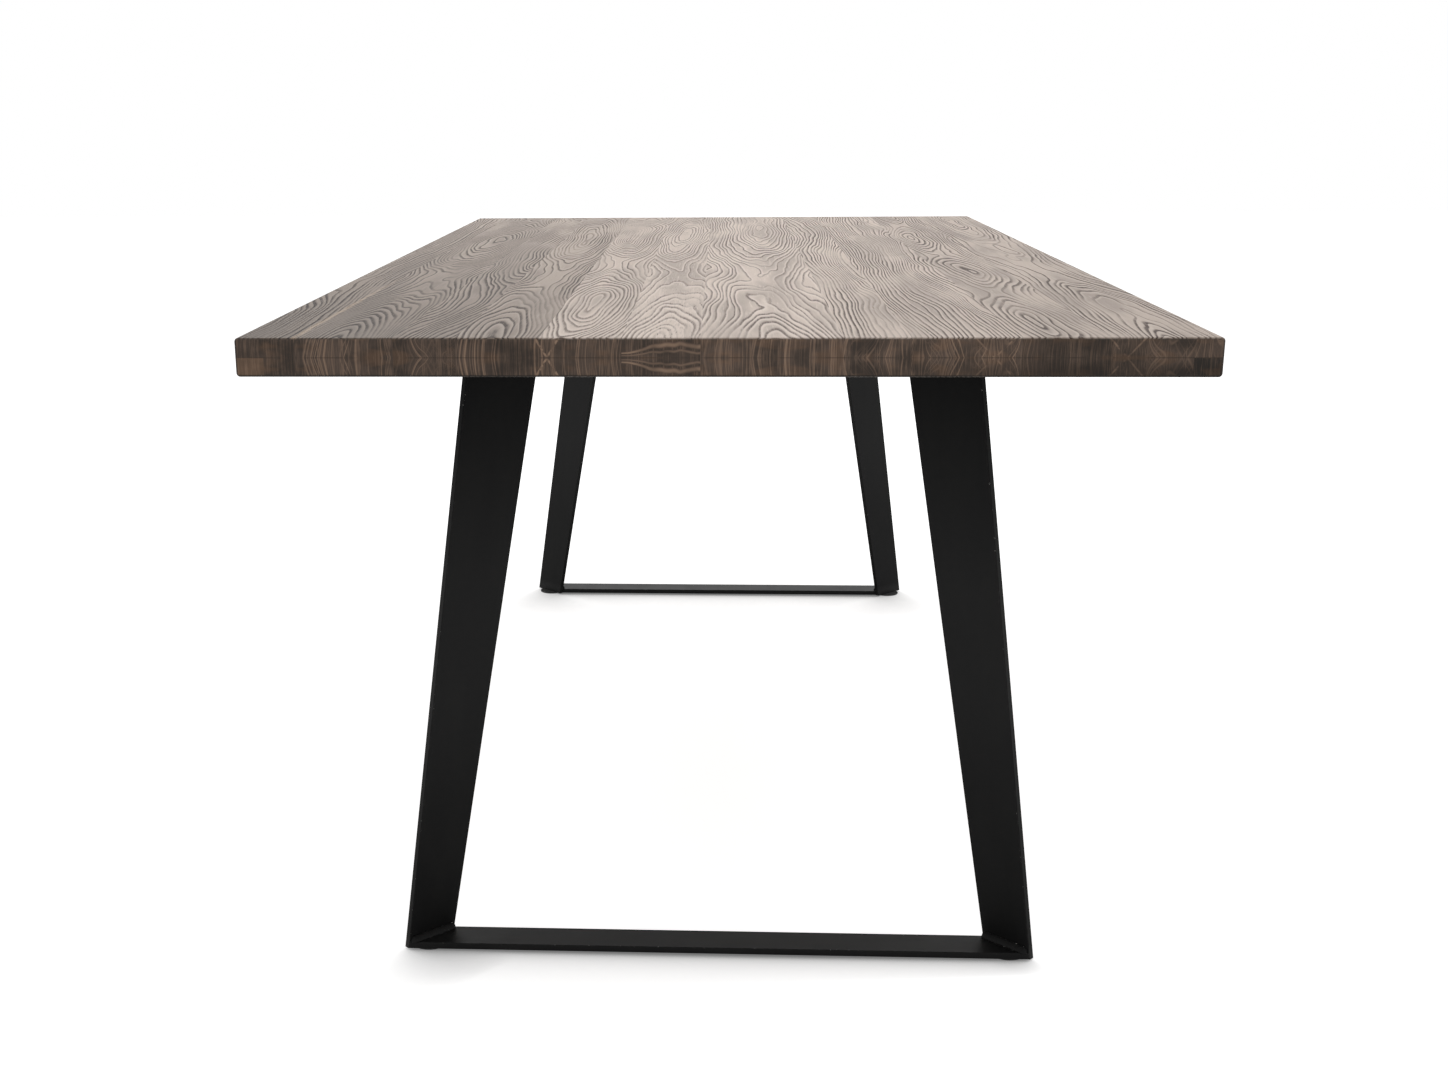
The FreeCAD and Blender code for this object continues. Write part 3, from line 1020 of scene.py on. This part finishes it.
@dataclass
class TableTop:
    """Eleven oak boards on a thickening frame."""

    figures: Tuple[BoardFigure, ...]
    left_strip: BoardFigure
    right_strip: BoardFigure
    joints: Tuple[float, ...] = (-438.0, -336.0, -272.0, -186.0, -102.0, -22.0, 122.0, 190.0, 300.0, 390.0)
    crossings: Tuple[RayCrossing, ...] = (
        RayCrossing(-178.0, 0.6, 1.1), RayCrossing(273.0, 1.0, 0.6), RayCrossing(404.0, 0.9, 0.7),
    )
    pale_end: EndGrain = EndGrain(ground=linear(124, 100, 82), shade=linear(100, 82, 68))
    dark_end: EndGrain = EndGrain(ground=linear(60, 53, 48), shade=linear(48, 43, 39))

    def dress(self) -> None:
        """Give the boards and strips their finishes."""
        faces, ends = LongGrain(sap=SapStreak()), EndGrain(crossings=self.crossings)
        oak = OakFinish("smoked_oak_boards", self.figures, self.joints, faces=faces, ends=ends).material()
        for number in range(1, len(self.figures) + 1):
            dress_node(f"top_board_{number:02d}", oak)
        for end in End:
            dress_node(f"{end.name.lower()}_end_strip", oak)
        figures, cuts = (self.left_strip, self.right_strip), (self.pale_end, self.dark_end)
        for flank, figure, cut in zip(Flank, figures, cuts):
            side = flank.name.lower()
            strip_oak = OakFinish(f"smoked_oak_{side}_strip", (figure,), ends=cut).material()
            dress_node(f"{side}_edge_strip", strip_oak)


@dataclass(frozen=True)
class WeldBead:
    """Fillet weld with overlapping ripples, laid in the corner of two steel faces."""

    leg: float = 0.005
    crown: float = 0.0007
    crown_steps: int = 6
    ripple_pitch: float = 0.0024
    ripple_height: float = 0.05
    steps_per_ripple: int = 4
    sag: float = 0.0012
    end_taper: float = 0.0025
    end_size: float = 0.45

    def add(self, mesh: BMesh, start: Vector, along: Vector, out: Vector, up: Vector) -> None:
        """Add one bead to a mesh.

        Args:
            mesh: The mesh that gathers the beads.
            start: Corner point where the bead starts.
            along: From the start to the end of the bead.
            out: Unit direction along the first face.
            up: Unit direction along the second face.
        """
        length = along.length
        steps = max(1, round(length / self.ripple_pitch)) * self.steps_per_ripple
        stride = (length / steps, 0.0, 0.0)
        others = set(mesh.verts)
        verts = [mesh.verts.new((0.0, across, rise)) for across, rise in self._section()]
        edges = [mesh.edges.new((verts[index - 1], verts[index])) for index in range(len(verts))]
        swept = bmesh.ops.spin(mesh, geom=verts + edges, axis=(1.0, 0.0, 0.0), dvec=stride, steps=steps)
        last = [item for item in swept["geom_last"] if isinstance(item, BMEdge)]
        bmesh.ops.holes_fill(mesh, edges=edges + last, sides=0)
        shell = [vert for vert in mesh.verts if vert not in others]
        for vert in shell:
            self._ripple(vert, length)
        axes = Matrix((along.normalized(), out, up)).transposed().to_4x4()
        bmesh.ops.transform(mesh, matrix=Matrix.Translation(start) @ axes, verts=shell)

    def _section(self) -> List[Range]:
        """Outline of the bead's section.

        Returns:
            The corner of the two faces, then points on the crowned face between the legs.
        """
        points = [(0.0, 0.0)]
        for index in range(self.crown_steps + 1):
            share = index / self.crown_steps
            swell = self.crown * math.sin(math.pi * share) / math.sqrt(2.0)
            points.append((self.leg * (1.0 - share) + swell, self.leg * share + swell))
        return points

    def _ripple(self, vert: BMVert, length: float) -> None:
        """Shape one vertex of the plain sweep into the rippled bead.

        Args:
            vert: The vertex.
            length: Length of the bead.
        """
        place, across, rise = vert.co
        scale = 1.0 - self.ripple_height * (place / self.ripple_pitch % 1.0)
        inside = min(1.0, min(place, length - place) / self.end_taper)
        if inside < 1.0:
            scale *= self.end_size + (1.0 - self.end_size) * math.sin(0.5 * math.pi * inside)
        middle = 4.0 * across * rise / (self.leg * self.leg)
        vert.co = Vector((place + self.sag * middle * inside, across * scale, rise * scale))


@dataclass
class SteelFrame:
    """One welded U-frame: two leaning plates, a foot bar, mount plates, welds and glides."""

    end: End
    coat: Material
    rubber: Material
    foot_spread: float = 0.349
    foot_depth: float = 0.837
    lean: float = 0.1085
    plate_height: float = 0.722
    plate_thickness: float = 0.008
    plate_head: float = 0.102
    bar_width: float = 0.048
    bar_top: float = 0.010
    floor_gap: float = 0.002
    weld_inset: float = 0.002
    foot_bead: WeldBead = WeldBead(leg=0.0075, ripple_pitch=0.003)
    mount_bead: WeldBead = WeldBead()

    def dress(self) -> None:
        """Give the steel and the glides their finishes."""
        side = self.end.name.lower()
        dress_node(f"{side}_foot_bar", self.coat)
        for flank in Flank:
            corner = f"{side}_{flank.name.lower()}"
            dress_node(f"{corner}_leg_plate", self.coat)
            dress_node(f"{corner}_mount_plate", self.coat)
            dress_node(f"{corner}_glide", self.rubber)

    def build(self) -> None:
        """Lay the weld beads of the frame, in place of the plain ones."""
        mesh = bmesh.new()
        for flank in Flank:
            self._weld_corner(mesh, flank)
        bmesh.ops.recalc_face_normals(mesh, faces=mesh.faces)
        for face in mesh.faces:
            face.smooth = True
        name = f"{self.end.name.lower()}_weld_beads"
        piece = new_object(f"{name}_rippled", mesh, self.coat)
        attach(piece, ROOT_BODY)
        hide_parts(name)

    def _weld_corner(self, mesh: BMesh, flank: Flank) -> None:
        """Lay the beads of one leg plate: one on the foot bar and two under the mount plate.

        Args:
            mesh: The mesh that gathers the beads.
            flank: Side of the table.
        """
        across, depth = flank.value, self.end.value
        inward = Vector((-across, -depth, 0.0)).normalized()
        bar_side = Vector((-across, depth, 0.0)).normalized()
        climb = Vector((-across * self.lean, 0.0, self.plate_height))
        foot = Vector((across * self.foot_spread, depth * self.foot_depth, self.floor_gap))
        seat = foot + climb * ((self.bar_top - self.floor_gap) / self.plate_height)
        seat += bar_side * (self.plate_thickness / 2)
        run = self.bar_width * math.sqrt(2.0) - 2 * self.weld_inset
        self.foot_bead.add(mesh, seat - inward * (run / 2), inward * run, bar_side, climb.normalized())
        head = foot + climb
        run = self.plate_head - 2 * self.weld_inset
        for face in (bar_side, -bar_side):
            start = head + face * (self.plate_thickness / 2) - inward * (run / 2)
            self.mount_bead.add(mesh, start, inward * run, face, -climb.normalized())


@dataclass
class Fasteners:
    """Bolts, washers and threaded inserts that hold the frames to the boards."""

    zinc: Material
    nodes: Tuple[str, ...] = ("mount_bolts", "mount_washers", "threaded_inserts")

    def dress(self) -> None:
        """Give the fasteners their finish."""
        for name in self.nodes:
            dress_node(name, self.zinc)


@dataclass(frozen=True)
class SoftBox:
    """Large soft lamp that looks at the middle of the top."""

    name: str
    place: Point
    width: float
    height: float
    watts: float
    target: Point = (0.0, 0.0, 0.75)

    def hang(self) -> None:
        """Hang the lamp."""
        data = bpy.data.lights.new(self.name, "AREA")
        data.shape = "RECTANGLE"
        data.size, data.size_y = self.width, self.height
        data.energy = self.watts
        lamp = bpy.data.objects.new(self.name, data)
        lamp.location = self.place
        aim = Vector(self.target) - Vector(self.place)
        lamp.rotation_euler = aim.to_track_quat("-Z", "Y").to_euler()
        bpy.context.scene.collection.objects.link(lamp)


@dataclass
class Studio:
    """White floor, soft light and the camera of the picture.

    The floor is shaded where the feet hem it in. The shade is looked for to the rear and outwards, over a
    reach that changes from front to rear and from left to right.
    """

    picture_width: float = 1448.0
    picture_height: float = 1086.0
    focal_pixels: float = 1845.5
    centre_x: float = 610.0
    centre_y: float = 650.0
    pitch_down: float = 16.5801
    yaw: float = -3.4356
    roll: float = -0.4663
    camera_place: Point = (-0.00335, -2.87691, 0.98032)
    sensor: float = 36.0
    ambient: float = 0.52
    lamps: Tuple[SoftBox, ...] = (
        SoftBox("overhead_softbox", (0.0, 0.0, 2.9), 4.0, 4.0, 26.0),
        SoftBox("rear_softbox", (0.0, 4.2, 2.3), 4.4, 2.6, 34.0),
    )
    floor_half: float = 14.0
    floor_cells: int = 8
    floor_level: float = -0.0003
    floor_white: Rgb = (0.86, 0.86, 0.86)
    floor_glow: float = 0.7
    foot_depth: float = 0.84
    shade_samples: int = 24
    shade_turn: float = 1.6
    shade_rearward: float = 0.9
    shade_upward: float = 0.44
    front_shade: float = 0.08
    shade_slant: float = -0.115
    rear_shade: float = 0.2
    contact_shade: Tuple[Range, ...] = (
        (0.0, 0.05), (0.1, 0.1), (0.4, 0.31), (0.5, 0.46), (0.6, 0.57), (0.7, 0.645),
        (0.8, 0.72), (0.9, 0.82), (0.95, 0.9), (0.98, 0.97), (1.0, 1.0),
    )

    def build(self) -> None:
        """Set the whole studio."""
        self._floor()
        self._sky()
        for lamp in self.lamps:
            lamp.hang()
        self._camera()

    def _seen(self, graph: Graph) -> Value:
        """Find out if the camera or a reflection looks here.

        Args:
            graph: Graph of the floor or the sky.

        Returns:
            1 if so, else 0.
        """
        kinds = ("Camera", "Glossy", "Transmission")
        return graph.most(*(graph.add("ShaderNodeLightPath", {}, f"Is {kind} Ray") for kind in kinds))

    def _shade(self, graph: Graph) -> Value:
        """Shade on the floor round the feet.

        Args:
            graph: Graph of the floor.

        Returns:
            The share of light that is left.
        """
        across, along, _ = (part * (1 / PER_METRE) for part in graph.place())
        rearward = graph.math("MULTIPLY_ADD", along, 0.5 / self.foot_depth, 0.5, clamp=True)
        front_reach = graph.math("MULTIPLY_ADD", across, self.shade_slant, self.front_shade)
        inputs = {
            "Distance": graph.span(rearward, front_reach, self.rear_shade),
            "Normal": graph.combine(across * self.shade_turn, self.shade_rearward, self.shade_upward),
        }
        hemmed = graph.add("ShaderNodeAmbientOcclusion", inputs, "AO", samples=self.shade_samples)
        return graph.curve(hemmed, self.contact_shade)

    def _floor(self) -> None:
        """Lay the pale floor, which shows white but keeps the shadow of the table."""
        material, graph = new_material("studio_floor_white")
        shade = self._shade(graph)
        colour = graph.blend(1.0, self.floor_white, shade, "MULTIPLY")
        matt = graph.add("ShaderNodeBsdfDiffuse", {"Color": colour})
        glow = graph.add("ShaderNodeEmission", {"Strength": self._seen(graph) * shade * self.floor_glow})
        graph.end("ShaderNodeOutputMaterial", graph.add("ShaderNodeAddShader", {0: matt, 1: glow}))
        mesh = bmesh.new()
        cells = self.floor_cells
        bmesh.ops.create_grid(mesh, x_segments=cells, y_segments=cells, size=self.floor_half)
        bmesh.ops.translate(mesh, verts=mesh.verts, vec=(0.0, 0.0, self.floor_level))
        floor = new_object("studio_floor", mesh, material)

    def _sky(self) -> None:
        """Set a white surround that lights the table softly from all round."""
        world = bpy.data.worlds.new("studio_surround")
        world.use_nodes = True
        bpy.context.scene.world = world
        graph = Graph(world.node_tree)
        strength = graph.span(self._seen(graph), self.ambient, 1.0)
        inputs = {"Color": (1.0, 1.0, 1.0), "Strength": strength}
        graph.end("ShaderNodeOutputWorld", graph.add("ShaderNodeBackground", inputs))

    def _camera(self) -> None:
        """Place the camera at the angle of the picture."""
        pitch, yaw, roll = (math.radians(angle) for angle in (self.pitch_down, self.yaw, self.roll))
        ahead = Vector((math.sin(yaw) * math.cos(pitch), math.cos(yaw) * math.cos(pitch), -math.sin(pitch)))
        level = Vector((math.cos(yaw), -math.sin(yaw), 0.0))
        above = level.cross(ahead)
        right = math.cos(roll) * level + math.sin(roll) * above
        upward = -math.sin(roll) * level + math.cos(roll) * above
        data = bpy.data.cameras.new("picture_camera")
        data.sensor_fit = "HORIZONTAL"
        data.sensor_width = self.sensor
        data.lens = self.focal_pixels / self.picture_width * self.sensor
        data.shift_x = (self.picture_width / 2 - self.centre_x) / self.picture_width
        data.shift_y = (self.centre_y - self.picture_height / 2) / self.picture_width
        camera = bpy.data.objects.new("picture_camera", data)
        axes = Matrix((right, upward, -ahead)).transposed().to_4x4()
        camera.matrix_world = Matrix.Translation(Vector(self.camera_place)) @ axes
        scene = bpy.context.scene
        scene.collection.objects.link(camera)
        scene.camera = camera
        scene.view_settings.view_transform = "Standard"


# Boards from left to right. The columns follow the fields of BoardFigure, from pith_x on.
BOARD_FIGURES = (
    BoardFigure(-520.0, 36.0, 36.0, 1500.0, -1000.0, 4.8, 14.0, 1.1, 0.45, 0.27, 0.74, 0.88, 0.3, 0.2),
    BoardFigure(-384.0, 44.0, 34.0, 1300.0, 300.0, 4.0, 15.0, 1.0, 0.45, 0.31, 0.74, 1.02, 0.75, 0.4),
    BoardFigure(-258.0, 34.0, 34.0, 1500.0, 200.0, 4.2, 14.0, 1.1, 0.45, 0.38, 0.8, 0.9, 0.7, 1.0, 0.3),
    BoardFigure(-232.0, 28.0, 34.0, 1500.0, 420.0, 4.6, 15.0, 1.05, 0.4, 0.54, 0.83, 0.86, 0.95, 0.1),
    BoardFigure(-150.0, 30.0, 36.0, 1100.0, -660.0, 4.8, 14.0, 0.8, 0.4, 1.02, 0.92, 0.98, 0.8, 0.15),
    BoardFigure(
        -62.0, 30.0, 34.0, 1700.0, 620.0, 4.8, 18.0, 0.7, 1.0, 1.14, 0.98, 1.02, 0.1, 0.05, end_bands=0.9
    ),
    BoardFigure(60.0, 38.0, 42.0, 2100.0, 640.0, 5.6, 16.0, 0.8, 0.35, 1.12, 1.08, 1.1, 0.65, 0.15),
    BoardFigure(270.0, 80.0, 24.0, 1500.0, 0.0, 4.4, 13.0, 1.0, 0.45, 1.02, 1.07, 1.08, 0.6, 0.7),
    BoardFigure(360.0, 90.0, 24.0, 1800.0, -200.0, 4.0, 13.0, 1.05, 0.45, 0.95, 1.04, 1.1, 0.7, 1.0, 0.2),
    BoardFigure(334.0, 18.0, 18.0, 640.0, -890.0, 5.0, 18.0, 1.1, 0.45, 0.84, 0.9, 0.78, 0.45, 0.2),
    BoardFigure(440.0, 32.0, 34.0, 1700.0, -1000.0, 5.4, 15.0, 1.1, 0.35, 0.82, 0.9, 0.93, 0.4, 0.9, 0.2),
)
RIGHT_STRIP = BoardFigure(-520.0, 60.0, 5.0, 1900.0, 0.0, 5.2, 5.0, 0.6, 0.4, 0.84, 0.92, 1.0, 0.2, 0.1)
LEFT_STRIP = replace(RIGHT_STRIP, tone_front=0.5, tone_rear=0.8)

# Bright zinc plate of the fasteners, with a faint spangle.
ZINC_PLATE = GrainyFinish(
    name="zinc_plate",
    low=(0.36, 0.37, 0.38),
    high=(0.56, 0.57, 0.59),
    grain=Mottle(1.25, 1.25, depth=1.25, cut=(0.35, 0.65), detail=3.0, rough=0.6),
    rough=(0.42, 0.28),
    bump=(0.00003, 0.3),
    metallic=1.0,
)

# Dark rubber of the glide pads, with floor dust in its grain.
GLIDE_RUBBER = GrainyFinish(
    name="glide_pad_rubber",
    low=(0.012, 0.012, 0.012),
    high=(0.05, 0.048, 0.045),
    grain=Mottle(1.2, 1.2, depth=1.0, cut=(0.45, 0.75), detail=3.0, rough=0.6),
    rough=(0.85, 0.7),
    bump=(0.0001, 0.4),
)


def main() -> None:
    """Build and dress the table and set the studio."""
    logging.basicConfig(level=logging.INFO, format="%(message)s")
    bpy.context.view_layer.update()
    TableTop(BOARD_FIGURES, LEFT_STRIP, RIGHT_STRIP).dress()
    coat, rubber = PowderCoat().material(), GLIDE_RUBBER.material()
    for end in End:
        steel = SteelFrame(end, coat, rubber)
        steel.build()
        steel.dress()
    Fasteners(ZINC_PLATE.material()).dress()
    Studio().build()
    LOG.info("wrote the boxes")


if __name__ == "__main__":
    main()
